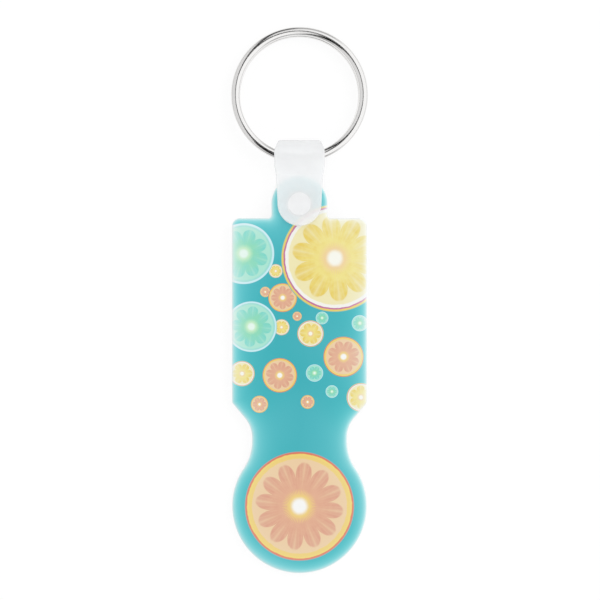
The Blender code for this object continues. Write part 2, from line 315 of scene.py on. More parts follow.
@dataclass(frozen=True)
class PrintedPlastic:
    """White plastic plate with a print on its upper face that pales towards the rim, as a painted rim light.
    """

    plastic: Colour = srgb(245, 248, 248)
    ground: Colour = srgb(46, 172, 182)
    ground_light: Colour = srgb(58, 176, 187)
    roughness: float = 0.34
    ior: float = 1.5
    specular: float = 0.4
    wash_scale: float = 900.0
    broad_scale: float = 90.0
    broad_step: Step = (0.3, 0.7, 0.0, 1.0)
    skin_scale: float = 2600.0
    skin_depth: float = 0.02 * MM
    skin_strength: float = 0.12
    # Reach of the painted rim light: the print fades to white at the rim and pales for some millimetres
    # inside it.
    painted_rim_light_reach: float = 0.95 * MM
    print_wrap: float = 0.1 * MM
    # How a blossom is drawn. Lengths are shares of its disc's radius.
    waviness: float = 0.03
    petal_root: float = 0.48
    petal_reach: float = 0.34
    petal_bluntness: float = 0.42
    petal_step: Step = (0.0, 0.045, 0.0, 1.0)
    deepening_step: Step = (0.2, 0.85, 0.0, 1.0)
    deepening_wash: float = 0.7
    vein_sharpness: float = 12.0
    vein_step: Step = (0.22, 0.7, 0.0, 1.0)
    rays_per_petal: int = 5
    streak_sharpness: float = 6.0
    streak_step: Step = (0.2, 0.6, 0.0, 0.5)
    mark_depth: float = 0.4
    stamen_root: float = 0.24
    stamen_reach: float = 0.1
    stamen_sharpness: float = 3.0
    stamen_step: Step = (0.0, 0.07, 0.0, 0.85)
    heart_step: Step = (0.09, 0.19, 1.0, 0.0)
    disc_step: Step = (0.975, 1.0, 1.0, 0.0)
    bands: tuple[tuple[str, float, float], ...] = (
        ("rim", 0.85, 0.875),
        ("accent", 0.915, 0.93),
        ("line", 0.945, 0.96),
    )
    motifs: tuple[Motif, ...] = (
        Motif(6.1, -9.4, 9.3, InkSet.YELLOW, petals=10, turn=0.2),
        Motif(-9.6, -8.6, 5.3, InkSet.MINT, petals=8, turn=0.3),
        Motif(-8.3, -21.2, 4.4, InkSet.MINT, petals=8, turn=0.1),
        Motif(0.0, -52.2, 9.5, InkSet.CORAL, petals=12, turn=0.13),
        Motif(7.6, -26.4, 3.5, InkSet.CORAL, petals=8, turn=0.4),
        Motif(-2.9, -16.2, 2.5, InkSet.CORAL, petals=8),
        Motif(-3.4, -29.6, 3.0, InkSet.CORAL, petals=8, turn=0.2),
        Motif(1.9, -22.4, 2.3, InkSet.YELLOW, turn=0.1),
        Motif(-9.9, -29.3, 2.2, InkSet.YELLOW),
        Motif(10.6, -33.4, 2.5, InkSet.YELLOW, turn=0.5),
        Motif(2.6, -29.2, 1.5, InkSet.MINT),
        Motif(-3.1, -21.3, 1.4, InkSet.YELLOW),
        Motif(3.9, -19.7, 1.1, InkSet.MINT),
        Motif(-4.1, -11.6, 1.2, InkSet.YELLOW),
        Motif(-6.9, -34.6, 1.5, InkSet.CORAL),
        Motif(1.4, -34.2, 1.2, InkSet.CORAL),
        Motif(5.6, -32.4, 1.1, InkSet.MINT),
        Motif(-5.9, -15.2, 0.9, InkSet.CORAL),
        Motif(10.4, -20.6, 1.4, InkSet.MINT),
        Motif(-0.4, -19.4, 0.8, InkSet.CORAL),
    )

    def covering_motif(self, graph: NodeGraph, flat: Field) -> tuple[Field, Field]:
        """Find the motif that covers a place.

        Args:
            graph: The material's graph.
            flat: Place in the plate's frame, at height 0.

        Returns:
            Its centre and radius in one vector, and its petals, turn and ink number in another.
        """
        nowhere = (0.0, 1.0, MM)
        disc: Field | tuple[float, float, float] = nowhere
        drawing: Field | tuple[float, float, float] = (6.0, 0.0, 0.0)
        numbers = {inks: float(number) for number, inks in enumerate(InkSet)}
        for motif in reversed(self.motifs):
            centre = (motif.across * MM, motif.along * MM, 0.0)
            gap = graph.vector("DISTANCE", flat, centre, output="Value")
            inside = graph.math("LESS_THAN", gap, motif.radius * MM)
            disc = graph.mix(inside, disc, (*centre[:2], motif.radius * MM), kind="VECTOR")
            details = (float(motif.petals), motif.turn, numbers[motif.inks])
            drawing = graph.mix(inside, drawing, details, kind="VECTOR")
        return disc, drawing

    def ink(self, graph: NodeGraph, number: Field, name: str) -> Field:
        """One colour of the ink set with a given number.

        Args:
            graph: The material's graph.
            number: The ink set's number.
            name: Which of the motif's colours.

        Returns:
            The colour.
        """
        first, second, third = (getattr(inks.value, name) for inks in InkSet)
        colour = graph.mix(graph.math("GREATER_THAN", number, 0.5), first, second)
        return graph.mix(graph.math("GREATER_THAN", number, 1.5), colour, third)

    def print_colour(self, graph: NodeGraph, place: Field) -> Field:
        """Colour of the print.

        Args:
            graph: The material's graph.
            place: Place in the plate's frame.

        Returns:
            The ground with every motif on it.
        """
        wash = graph.noise(place, self.wash_scale, 3.0)
        broad = graph.noise(place, self.broad_scale, 0.0)
        flat = graph.vector("MULTIPLY", place, (1.0, 1.0, 0.0))
        disc, drawing = self.covering_motif(graph, flat)
        centre_x, centre_y, radius = graph.split(disc)
        petals, turn, number = graph.split(drawing)
        inks = {band.name: self.ink(graph, number, band.name) for band in fields(Inks)}
        x, y, _ = graph.split(flat)
        across, along = x - centre_x, y - centre_y
        reach = graph.length(across, along) / radius
        wavy = reach + (wash - 0.5) * self.waviness
        angle = graph.math("ARCTAN2", along, across) + turn
        lobe = graph.math("ABSOLUTE", graph.math("COSINE", angle * petals * 0.5))
        fine_ray = graph.math("ABSOLUTE", graph.math("COSINE", angle * petals * (0.5 * self.rays_per_petal)))
        petal_end = graph.math("POWER", lobe, self.petal_bluntness) * self.petal_reach + self.petal_root
        in_petal = graph.smooth(petal_end - wavy, *self.petal_step)
        vein = graph.math("POWER", lobe, self.vein_sharpness) * graph.smooth(wavy, *self.vein_step)
        streak = graph.math("POWER", fine_ray, self.streak_sharpness) * graph.smooth(wavy, *self.streak_step)
        stamen_end = graph.math("POWER", fine_ray, self.stamen_sharpness) * self.stamen_reach
        stamen = graph.smooth(stamen_end + self.stamen_root - wavy, *self.stamen_step)
        deepening = graph.smooth(wavy + (wash - 0.5) * self.deepening_wash, *self.deepening_step)
        colour = graph.mix(deepening, inks["petal"], inks["tip"])
        colour = graph.mix((vein + streak) * self.mark_depth, colour, inks["ground"])
        colour = graph.mix(in_petal, inks["ground"], colour)
        colour = graph.mix(stamen, colour, inks["glow"])
        colour = graph.mix(graph.smooth(wavy, *self.heart_step), colour, inks["heart"])
        for name, low, high in self.bands:
            colour = graph.mix(graph.smooth(wavy, low, high), colour, inks[name])
        around = graph.mix(graph.smooth(broad, *self.broad_step), self.ground, self.ground_light)
        return graph.mix(graph.smooth(reach, *self.disc_step), around, colour)

    def material(self, print_height: float) -> bpy.types.Material:
        """Build the material.

        Args:
            print_height: Height in the plate's frame above which the print shows.

        Returns:
            The material.
        """
        material, graph, shader = surface("printed_plastic")
        place = graph.own_place()
        height = graph.split(place)[2]
        inset = graph.add("ShaderNodeAttribute", output="Fac", attribute_name="inset")
        # Painted rim light: the print pales towards the rim and turns white at the rim itself.
        rim_light_gamma = inset / (inset + self.painted_rim_light_reach)
        print_with_rim_light = graph.add("ShaderNodeGamma", {"Color": self.print_colour(graph, place), "Gamma": rim_light_gamma})
        printed = graph.mix(1.0, print_with_rim_light, self.plastic, blend="MULTIPLY")
        on_top = graph.smooth(height, print_height - self.print_wrap, print_height)
        skin = graph.noise(place, self.skin_scale, 3.0)
        graph.fill(shader, {
            "Base Color": graph.mix(on_top, self.plastic, printed),
            "Roughness": self.roughness,
            "IOR": self.ior,
            "Specular IOR Level": self.specular,
            "Normal": graph.bump(skin, self.skin_strength, self.skin_depth),
        })
        return material


@dataclass(frozen=True)
class FrostedPlastic:
    """Milky plastic that lets a little of what lies under it show."""

    body: Colour = srgb(252, 253, 254)
    opacity: float = 0.57
    stud_opacity: float = 0.74
    stud_radius: float = 2.0 * MM
    stud_edge: float = 0.12 * MM
    light_passed: float = 0.85
    roughness: float = 0.5
    ior: float = 1.49
    dullest: float = 0.97
    cloud_scale: float = 500.0
    cloud_step: Step = (0.3, 0.7, 0.0, 1.0)
    grain_scale: float = 5200.0
    grain_depth: float = 0.02 * MM
    grain_strength: float = 0.15

    def material(self) -> bpy.types.Material:
        """Build the material.

        Returns:
            The material.
        """
        material, graph, shader = surface("frosted_plastic")
        place = graph.own_place()
        cloud = graph.noise(place, self.cloud_scale)
        milky = tuple(self.dullest * value for value in self.body)
        across, along, height = graph.split(place)
        near_axis = (self.stud_radius - self.stud_edge, self.stud_radius, 1.0, 0.0)
        over_stud = graph.smooth(graph.length(across, along), *near_axis)
        over_stud = over_stud * graph.math("GREATER_THAN", height, 0.0)
        opacity = over_stud * (self.stud_opacity - self.opacity) + self.opacity
        grain = graph.noise(place, self.grain_scale)
        graph.fill(shader, {
            "Base Color": graph.mix(graph.smooth(cloud, *self.cloud_step), milky, self.body),
            "Roughness": self.roughness,
            "IOR": self.ior,
            "Alpha": opacity * (graph.ray("Is Shadow Ray") * -self.light_passed + 1.0),
            "Normal": graph.bump(grain, self.grain_strength, self.grain_depth),
        })
        return material


@dataclass(frozen=True)
class PolishedNickel:
    """Bright nickel plate with faint drawing marks along the wire."""

    metal: Colour = srgb(241, 240, 239)
    dullest: float = 0.95
    cloud_scale: float = 900.0
    roughness_step: Step = (0.2, 0.8, 0.072, 0.126)

    def material(self) -> bpy.types.Material:
        """Build the material.

        Returns:
            The material.
        """
        material, graph, shader = surface("polished_nickel")
        cloud = graph.noise(graph.own_place(), self.cloud_scale, 3.0)
        dull = tuple(self.dullest * value for value in self.metal)
        graph.fill(shader, {
            "Base Color": graph.mix(cloud, dull, self.metal),
            "Roughness": graph.smooth(cloud, *self.roughness_step),
            "Metallic": 1.0,
        })
        return material


def arc(centre: tuple[float, float], radius: float, start: float, end: float, count: int) -> list[Vector]:
    """Points along an arc, ends included.

    Args:
        centre: The arc's centre.
        radius: Its radius.
        start: Angle of the first point.
        end: Angle of the last point.
        count: How many steps it takes.

    Returns:
        The points.
    """
    angles = (start + (end - start) * i / count for i in range(count + 1))
    return [Vector((centre[0] + radius * math.cos(a), centre[1] + radius * math.sin(a))) for a in angles]


def fillet(before: Sequence[float], corner: Sequence[float], after: Sequence[float], radius: float,
           count: int) -> list[Vector]:
    """Arc that rounds a corner.

    Args:
        before: A point on the line into the corner.
        corner: The corner.
        after: A point on the line out of it.
        radius: The arc's radius.
        count: How many steps it takes.

    Returns:
        The arc's points.
    """
    corner = Vector(corner)
    to_before = (Vector(before) - corner).normalized()
    to_after = (Vector(after) - corner).normalized()
    half_angle = to_before.angle(to_after) / 2
    centre = corner + (to_before + to_after).normalized() * radius / math.sin(half_angle)
    reach = radius / math.tan(half_angle)
    spoke_start = corner + to_before * reach - centre
    spoke_end = corner + to_after * reach - centre
    start = math.atan2(spoke_start.y, spoke_start.x)
    turn = (math.atan2(spoke_end.y, spoke_end.x) - start + math.pi) % math.tau - math.pi
    return arc(centre, radius, start, start + turn, count)


def mirrored(half: list[Vector]) -> list[Vector]:
    """Closed outline from its right half, which starts and ends on the centre line."""
    return half + [Vector((-p.x, p.y)) for p in reversed(half[1:-1])]


@dataclass
class Shell:
    """A closed plate lofted through offset copies of its outline, with a round hole if it has one.

    Attributes:
        outline: Gives the outline at an inset, with the same number of points each time.
        low: Height of the lower face.
        high: Height of the upper face.
        edge_radius: Radius of the rounded rims.
        edge_steps: Steps in that rounding.
        hole_sides: Sides of the hole.
    """

    outline: Callable[[float], list[Vector]]
    low: float
    high: float
    edge_radius: float
    edge_steps: int
    hole_sides: int = 48

    def rounding(self, radius: float) -> list[tuple[float, float]]:
        """Insets and heights from the lower face, round the side, to the upper face.

        Args:
            radius: Radius of the rims.

        Returns:
            Pairs of inset and height.
        """
        angles = [math.pi / 2 * i / self.edge_steps for i in range(self.edge_steps + 1)]
        upper = [(radius * (1 - math.cos(a)), self.high - radius * (1 - math.sin(a))) for a in angles]
        lower = [(inset, self.low + self.high - z) for inset, z in reversed(upper)]
        return lower + upper

    def build(self, flats: Sequence[float],
              hole: tuple[Vector, float, float] | None = None) -> bmesh.types.BMesh:
        """Loft the plate.

        Args:
            flats: Further insets at which each flat face gets a line of points.
            hole: Centre, radius and rim radius of a hole through the plate.

        Returns:
            The closed mesh.
        """
        bm = bmesh.new()
        side = self.rounding(self.edge_radius)
        levels = [(inset, self.low) for inset in reversed(flats)] + side
        levels += [(inset, self.high) for inset in flats]
        rings = [[bm.verts.new((p.x, p.y, z)) for p in self.outline(inset)] for inset, z in levels]
        self.skin(bm, rings)
        bounds = [rings[0], rings[-1]]
        if hole:
            centre, radius, rim = hole
            circles = []
            for inset, z in self.rounding(rim):
                circle = arc(centre, radius + inset, 0, math.tau, self.hole_sides)[:-1]
                circles.append([bm.verts.new((p.x, p.y, z)) for p in circle])
            self.skin(bm, circles)
            bounds += [circles[0], circles[-1]]
            self.cap_round_hole(bm, bounds[0], bounds[2])
            self.cap_round_hole(bm, bounds[1], bounds[3])
        else:
            for ring in bounds:
                bm.faces.new(ring)
        bmesh.ops.recalc_face_normals(bm, faces=bm.faces)
        return bm

    @staticmethod
    def skin(bm: bmesh.types.BMesh, rings: list[Ring]) -> None:
        """Join each ring of points to the next with quads.

        Args:
            bm: The mesh.
            rings: Rings with the same number of points.
        """
        for near, far in zip(rings, rings[1:]):
            for i in range(len(near)):
                j = (i + 1) % len(near)
                bm.faces.new((near[i], near[j], far[j], far[i]))

    @staticmethod
    def cap_round_hole(bm: bmesh.types.BMesh, outer: Ring, inner: Ring) -> None:
        """Fill a flat face between its outline and a hole.

        Args:
            bm: The mesh.
            outer: Points of the outline.
            inner: Points of the hole.
        """
        edges = []
        for ring in (outer, inner):
            for i, vert in enumerate(ring):
                edges.append(bm.edges.get((vert, ring[(i + 1) % len(ring)])))
        bmesh.ops.triangle_fill(bm, use_beauty=True, use_dissolve=False, edges=edges)


@dataclass
class Piece:
    """A finished piece of the keyring and what it stands for."""

    SHARP_ANGLE = math.radians(40)

    node: str
    slot: str

    def show(self, bm: bmesh.types.BMesh, place: Matrix, material: bpy.types.Material) -> bpy.types.Object:
        """Make the object, hang it on its body and dress it.

        Args:
            bm: Its mesh.
            place: Where its own frame stands.
            material: Its finish.

        Returns:
            The object.
        """
        obj = add_object(f"{self.node}_finished", bm)
        mesh = obj.data
        attribute = mesh.attributes.new("own_place", "FLOAT_VECTOR", "POINT")
        attribute.data.foreach_set("vector", [value for vert in mesh.vertices for value in vert.co])
        mesh.transform(place)
        mesh.shade_smooth()
        mesh.set_sharp_from_angle(angle=self.SHARP_ANGLE)
        mesh.materials.append(material)
        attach(obj, self.node)
        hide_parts(self.node)
        return obj


@dataclass
class TokenPlate:
    """The printed plate: tab, body, neck and coin end."""

    coin_radius: float = 11.625 * MM
    thickness: float = 2.3 * MM
    edge_radius: float = 0.5 * MM
    body_width: float = 23.3 * MM
    body_length: float = 31.85 * MM
    shoulder_radius: float = 1.4 * MM
    body_end_radius: float = 0.9 * MM
    slope_angle: float = math.radians(50.0)
    neck_width: float = 16.4 * MM
    neck_length: float = 0.6 * MM
    neck_upper_radius: float = 5.2 * MM
    neck_lower_radius: float = 8.5 * MM
    tab_radius: float = 4.85 * MM
    tab_root_radius: float = 0.6 * MM
    shoulder_drop: float = 2.5 * MM
    hole_radius: float = 2.25 * MM
    hole_rim: float = 0.15 * MM
    score_step: float = 2.0 * MM
    score_weld: float = 0.01 * MM
    flat_normal: float = 0.999
    least_radius: float = 0.02 * MM
    rim_steps: int = 6
    tab_steps: int = 24
    flare_steps: int = 12
    coin_steps: int = 56
    flat_insets: tuple[float, ...] = (0.04 * MM, 0.2 * MM, 0.45 * MM, 0.8 * MM, 1.15 * MM, 1.5 * MM)
    print_over_rim: float = 0.6
    finish: PrintedPlastic = PrintedPlastic()

    def outline(self, inset: float) -> list[Vector]:
        """Plan of the plate, shrunk by an inset.

        Args:
            inset: How far inside the real outline it runs.

        Returns:
            The closed outline, with the same number of points for every inset.
        """
        body = self.body_width / 2 - inset
        neck = self.neck_width / 2 - inset
        tab_radius = self.tab_radius - inset
        shoulder = -self.shoulder_drop - inset
        sine, cosine = math.sin(self.slope_angle), math.cos(self.slope_angle)
        slope_top = -self.shoulder_drop - self.body_length
        slope_x = self.body_width / 2 - inset * sine
        slope_y = slope_top + inset * cosine
        body_end = slope_y - (slope_x - body) * sine / cosine
        neck_corner = slope_y - (slope_x - neck) * sine / cosine
        half_turn = math.tan((math.pi / 2 - self.slope_angle) / 2)
        plain_corner = slope_top - (self.body_width - self.neck_width) / 2 * sine / cosine
        neck_lower = plain_corner - self.neck_upper_radius * half_turn - self.neck_length
        # Place of each corner, the radius of its rounding and the steps in it.
        corners = [
            (tab_radius, 0.0, 0.0, 0),
            (tab_radius, shoulder, self.tab_root_radius + inset, 8),
            (body, shoulder, max(self.shoulder_radius - inset, self.least_radius), 10),
            (body, body_end, max(self.body_end_radius - inset, self.least_radius), 6),
            (neck, neck_corner, self.neck_upper_radius + inset, 10),
            (neck, neck_lower, 0.0, 0),
        ]
        side: list[Vector] = []
        for before, corner, after in zip(corners, corners[1:], corners[2:]):
            side += fillet(before[:2], corner[:2], after[:2], corner[2], corner[3])
        offset = self.neck_width / 2 + self.neck_lower_radius
        coin_y = neck_lower - math.sqrt((self.coin_radius + self.neck_lower_radius) ** 2 - offset**2)
        flare = math.atan2(neck_lower - coin_y, offset)
        lower_radius = self.neck_lower_radius + inset
        lower = arc((offset, neck_lower), lower_radius, math.pi, math.pi + flare, self.flare_steps)
        coin = arc((0, coin_y), self.coin_radius - inset, flare, -math.pi / 2, self.coin_steps)
        tab = arc((0, 0), tab_radius, math.pi / 2, 0, self.tab_steps)
        return mirrored(tab + side + lower[:-1] + coin)

    def score(self, bm: bmesh.types.BMesh) -> None:
        """Cut both flat faces along a grid, so that they have points well inside the rim.

        Args:
            bm: The plate.
        """
        low, high = min(vert.co.y for vert in bm.verts), max(vert.co.y for vert in bm.verts)
        row_count = int((high - low) / self.score_step)
        side_count = int(self.body_width / 2 / self.score_step)
        rows = [((0, low + self.score_step * i, 0), (0, 1, 0)) for i in range(1, row_count)]
        columns = [((self.score_step * i, 0, 0), (1, 0, 0)) for i in range(-side_count, side_count + 1)]
        for point, normal in rows + columns:
            flat = [face for face in bm.faces if abs(face.normal.z) > self.flat_normal]
            geometry = {item for face in flat for item in (face, *face.edges, *face.verts)}
            bmesh.ops.bisect_plane(bm, geom=list(geometry), dist=self.score_weld, plane_co=point,
                                   plane_no=normal)

    def mark_insets(self, mesh: bpy.types.Mesh) -> None:
        """Store on each point how far it lies inside the rim, seen from above, which sets the painted rim
        light on the print.

        Args:
            mesh: The plate's mesh.
        """
        line = np.array([tuple(p) for p in self.outline(0.0)])
        ahead = np.roll(line, -1, axis=0) - line
        points = np.array([tuple(item.vector)[:2] for item in mesh.attributes["own_place"].data])
        spokes = points[:, None, :] - line[None, :, :]
        along = np.clip((spokes * ahead).sum(2) / np.maximum((ahead**2).sum(1), 1e-18), 0, 1)
        gaps = np.linalg.norm(spokes - along[:, :, None] * ahead, axis=2).min(1)
        attribute = mesh.attributes.new("inset", "FLOAT", "POINT")
        attribute.data.foreach_set("value", gaps.astype(np.float32))

    def build(self, place: Matrix) -> bpy.types.Object:
        """Make the plate.

        Args:
            place: The plate's frame.

        Returns:
            The piece.
        """
        half = self.thickness / 2
        shell = Shell(self.outline, -half, half, self.edge_radius, self.rim_steps)
        flats = [self.edge_radius + inset for inset in self.flat_insets]
        bm = shell.build(flats, hole=(Vector((0, 0)), self.hole_radius, self.hole_rim))
        self.score(bm)
        finish = self.finish.material(half - self.edge_radius * self.print_over_rim)
        obj = Piece("token", "printed_plastic").show(bm, place, finish)
        self.mark_insets(obj.data)
        return obj


class FoldPath:
    """Inner face of the folded strap in the YZ plane, by distance from the crest of the fold."""

    def __init__(self, corner_y: float, pivot_y: float, leaf: float, loop_radius: float,
                 bend_radius: float) -> None:
        """Work out the path.

        Args:
            corner_y: Where the flat leaf would turn towards the loop.
            pivot_y: Centre of the loop.
            leaf: Height of the flat leaf's inner face.
            loop_radius: Inner radius of the loop.
            bend_radius: Radius of the bend between leaf and loop.
        """
        reach = math.hypot(pivot_y - corner_y, leaf)
        self.pivot_y = pivot_y
        self.leaf = leaf
        self.loop_radius = loop_radius
        self.bend_radius = bend_radius
        self.slope = math.asin(loop_radius / reach) - math.atan2(leaf, pivot_y - corner_y)
        bend_tangent = bend_radius * math.tan(self.slope / 2)
        straight = math.sqrt(reach**2 - loop_radius**2) - bend_tangent
        self.loop_end = loop_radius * (math.pi / 2 + self.slope)
        self.bend_start = self.loop_end + straight
        self.bend_end = self.bend_start + bend_radius * self.slope
        self.bend_end_y = corner_y - bend_tangent

    def at_leaf(self, y: float) -> float:
        """Distance from the crest to a place on the flat leaf."""
        return self.bend_end + self.bend_end_y - y

    def frame(self, distance: float) -> tuple[Vector, Vector]:
        """Point on the inner face and its outward normal.

        Args:
            distance: Distance from the crest, negative on the back.

        Returns:
            Both as (y, z) vectors.
        """
        side = math.copysign(1.0, distance)
        s = abs(distance)
        centre = Vector((self.pivot_y, 0))
        if s <= self.loop_end:
            turn = s / self.loop_radius
            normal = Vector((math.cos(turn), math.sin(turn)))
            point = centre + normal * self.loop_radius
        elif s <= self.bend_start:
            normal = Vector((-math.sin(self.slope), math.cos(self.slope)))
            along = Vector((-math.cos(self.slope), -math.sin(self.slope)))
            point = centre + normal * self.loop_radius + along * (s - self.loop_end)
        elif s <= self.bend_end:
            turn = (self.bend_end - s) / self.bend_radius
            normal = Vector((-math.sin(turn), math.cos(turn)))
            point = Vector((self.bend_end_y, self.leaf + self.bend_radius)) - normal * self.bend_radius
        else:
            normal = Vector((0, 1))
            point = Vector((self.bend_end_y - (s - self.bend_end), self.leaf))
        return Vector((point.x, side * point.y)), Vector((normal.x, side * normal.y))

    def creases(self, steps: int, bend_steps: int) -> list[float]:
        """Distances at which the flat strip is scored, so that it bends smoothly.

        Args:
            steps: Steps over each half of the loop.
            bend_steps: Steps over each bend.

        Returns:
            The distances, both sides of the crest.
        """
        marks = [self.loop_end * i / steps for i in range(1, steps + 1)]
        bend = self.bend_end - self.bend_start
        marks += [self.bend_start + bend * i / bend_steps for i in range(bend_steps + 1)]
        return [0.0] + marks + [-mark for mark in marks]


@dataclass
class Strap:
    """The strip folded through the ring, with its stud snapped through the tab."""

    thickness: float = 0.9 * MM
    width: float = 8.7 * MM
    shoulder_width: float = 8.05 * MM
    end_radius: float = 3.8 * MM
    waist_inset: float = 0.85 * MM
    waist_length: float = 4.4 * MM
    taper_length: float = 1.8 * MM
    corner_radius: float = 0.8 * MM
    edge_radius: float = 0.26 * MM
    bend_radius: float = 3.0 * MM
    leaf_face: float = 1.4 * MM
    bend_clearance: float = 0.35 * MM
    loop_radius: float = 1.873 * MM
    stud_radius: float = 2.0 * MM
    snap_clearance: float = 0.15 * MM
    snap_overhang: float = 0.45 * MM
    snap_rim: float = 0.2 * MM
    snap_taper: float = 0.5 * MM
    snap_rounding: float = 0.06 * MM
    snap_tip_rounding: float = 0.08 * MM
    snap_tip_height: float = 0.07 * MM
    tab_radius: float = 4.85 * MM
    hole_rim: float = 0.12 * MM
    flat_inset: float = 0.03 * MM
    rim_steps: int = 4
    corner_steps: int = 6
    lobe_steps: int = 20
    loop_steps: int = 32
    bend_steps: int = 4
    stud_sides: int = 64
    weld: float = 0.001 * MM
    finish: FrostedPlastic = FrostedPlastic()

    def path(self, pivot_y: float) -> FoldPath:
        """Path of the strip for a loop centred at pivot_y."""
        corner = self.tab_radius + self.bend_clearance
        return FoldPath(corner, pivot_y, self.leaf_face, self.loop_radius, self.bend_radius)

    def outline(self, path: FoldPath) -> Callable[[float], list[Vector]]:
        """Plan of the flat strip.

        Args:
            path: The fold that the strip takes.

        Returns:
            A function that gives the outline at an inset.
        """
        side = self.width / 2
        lobe = path.at_leaf(0)
        taper_end = path.at_leaf(self.tab_radius)

        def at(inset: float) -> list[Vector]:
            """Plan at an inset.

            Args:
                inset: How far inside the real outline it runs.

            Returns:
                The closed outline.
            """
            corners = [
                (side - self.waist_inset - inset, 0.0),
                (side - inset, self.waist_length / 2),
                (side - inset, taper_end - self.taper_length),
                (self.shoulder_width / 2 - inset, taper_end),
                (self.end_radius - inset, lobe),
            ]
            line = [Vector(corners[0])]
            for before, corner, after in zip(corners, corners[1:], corners[2:]):
                line += fillet(before, corner, after, self.corner_radius, self.corner_steps)
            quarter = line + arc((0, lobe), self.end_radius - inset, 0, math.pi / 2, self.lobe_steps)
            right = [Vector((p.x, -p.y)) for p in reversed(quarter)] + quarter[1:]
            return mirrored(right)

        return at

    def fold(self, bm: bmesh.types.BMesh, path: FoldPath) -> None:
        """Bend the flat strip round its path.

        Args:
            bm: The strip, along Y, with its inner face at height 0.
            path: The fold.
        """
        for crease in path.creases(self.loop_steps, self.bend_steps):
            everything = bm.verts[:] + bm.edges[:] + bm.faces[:]
            bmesh.ops.bisect_plane(bm, geom=everything, dist=self.weld, plane_co=(0, crease, 0),
                                   plane_no=(0, 1, 0))
        for vert in bm.verts:
            point, normal = path.frame(vert.co.y)
            bent = point + normal * vert.co.z
            vert.co = (vert.co.x, bent.x, bent.y)
        bmesh.ops.recalc_face_normals(bm, faces=bm.faces)

    def stud(self) -> bpy.types.Object:
        """Stud and snap head, as a tool to be joined to the strip.

        Returns:
            The tool.
        """
        head = self.leaf_face + self.thickness + self.snap_clearance
        head_radius = self.stud_radius + self.snap_overhang
        end = head + self.snap_rim + self.snap_taper
        profile = [
            (0.0, self.leaf_face + self.thickness / 2),
            (self.stud_radius, self.leaf_face + self.thickness / 2),
            (self.stud_radius, -head),
            (head_radius - self.snap_rounding, -head),
            (head_radius, -head - self.snap_rounding),
            (head_radius, -head - self.snap_rim),
            (head_radius - self.snap_taper + self.snap_tip_rounding, -end + self.snap_tip_height),
            (head_radius - self.snap_taper - self.snap_tip_rounding, -end),
            (0.0, -end),
        ]
        bm = bmesh.new()
        points = [bm.verts.new((r, 0, z)) for r, z in profile]
        spokes = [bm.edges.new(pair) for pair in zip(points, points[1:])]
        bmesh.ops.spin(bm, geom=points + spokes, cent=(0, 0, 0), axis=(0, 0, 1), angle=math.tau,
                       steps=self.stud_sides, use_merge=True)
        bmesh.ops.remove_doubles(bm, verts=bm.verts, dist=self.weld)
        bmesh.ops.recalc_face_normals(bm, faces=bm.faces)
        return add_object("stud_tool", bm)

    def build(self, place: Matrix, pivot_y: float) -> bpy.types.Object:
        """Make the strap.

        Args:
            place: The plate's frame.
            pivot_y: Centre of the loop in that frame.

        Returns:
            The piece.
        """
        path = self.path(pivot_y)
        shell = Shell(self.outline(path), 0.0, self.thickness, self.edge_radius, self.rim_steps)
        back_hole = (Vector((0, -path.at_leaf(0))), self.stud_radius + self.snap_clearance, self.hole_rim)
        bm = shell.build([self.edge_radius + self.flat_inset], hole=back_hole)
        self.fold(bm, path)
        tool = self.stud()
        joined = add_object("strip", bm)
        union = joined.modifiers.new("stud", "BOOLEAN")
        union.operation = "UNION"
        union.solver = "EXACT"
        union.object = tool
        shaped = joined.evaluated_get(bpy.context.evaluated_depsgraph_get()).to_mesh()
        whole = bmesh.new()
        whole.from_mesh(shaped)
        for helper in (joined, tool):
            bpy.data.objects.remove(helper, do_unlink=True)
        return Piece("strap", "frosted_plastic").show(whole, place, self.finish.material())


